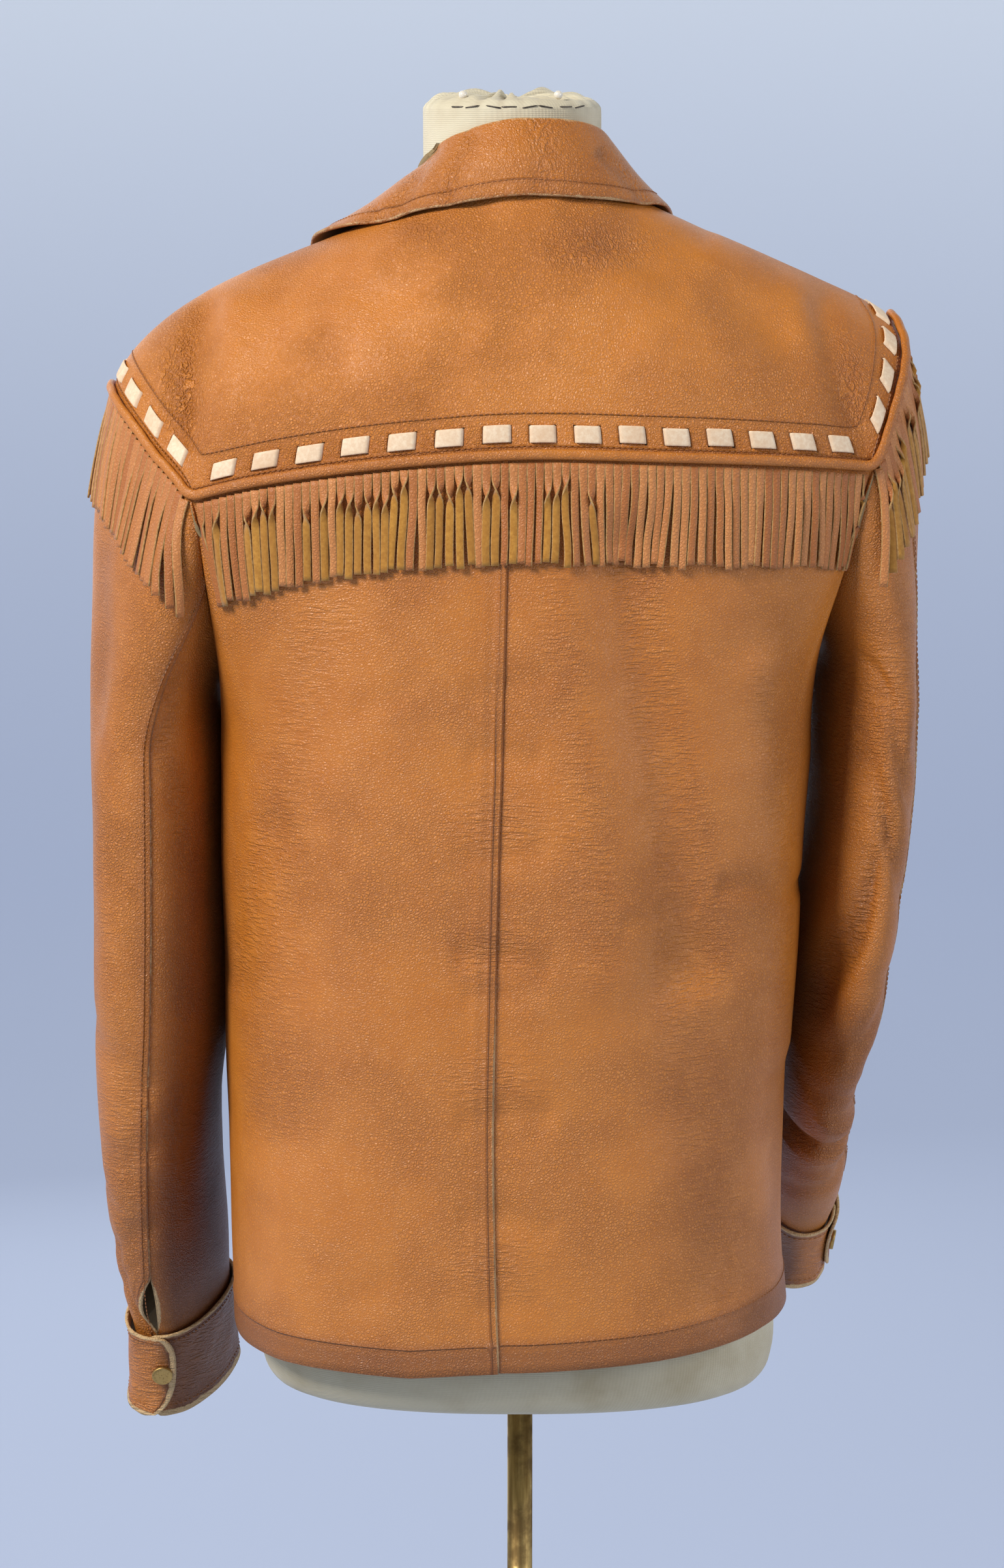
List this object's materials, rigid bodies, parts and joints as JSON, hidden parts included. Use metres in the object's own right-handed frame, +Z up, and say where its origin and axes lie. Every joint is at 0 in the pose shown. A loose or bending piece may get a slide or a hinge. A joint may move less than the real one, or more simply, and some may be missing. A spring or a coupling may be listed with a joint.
{
  "type": "fringed deerskin jacket on a dress form stand",
  "caption": "Fringed deerskin jacket with a laced yoke, snap cuffs and a shirt collar, buttoned over a limbless cream dress form on a brass pole and a round base.",
  "frame": {"origin": "centre of the round base's underside, on the floor under the pole", "axes": "+Z up along the pole; the jacket's front faces -Y and its back +Y; the wearer's left is +X"},
  "size_m": [0.5048, 0.404, 1.5],
  "materials": {
    "deerskin": "soft pebbled grain, satin",
    "suede": "matt, cut edges",
    "lacing": "cream, matt",
    "canvas": "cream cotton, matt",
    "brass": "worn, satin",
    "base": "satin black"
  },
  "bodies": {
    "root": {"yoke": "deerskin", "collar": "deerskin", "back_left": "deerskin", "back_right": "deerskin", "front_left": "deerskin", "front_right": "deerskin", "sleeve_left_outer": "deerskin", "sleeve_left_inner": "deerskin", "sleeve_right_outer": "deerskin", "sleeve_right_inner": "deerskin", "cuff_left": "deerskin", "cuff_right": "deerskin", "piping": "deerskin", "lace": "lacing", "fringe_back": "suede", "fringe_arm_left": "suede", "fringe_arm_right": "suede", "snap_cuff_left": "brass", "snap_cuff_right": "brass", "snap_front_1": "brass", "snap_front_2": "brass", "snap_front_3": "brass", "snap_front_4": "brass", "snap_front_5": "brass", "snap_front_6": "brass", "dress_form": "canvas", "pole": "brass", "base": "base"}
  },
  "joints": []
}
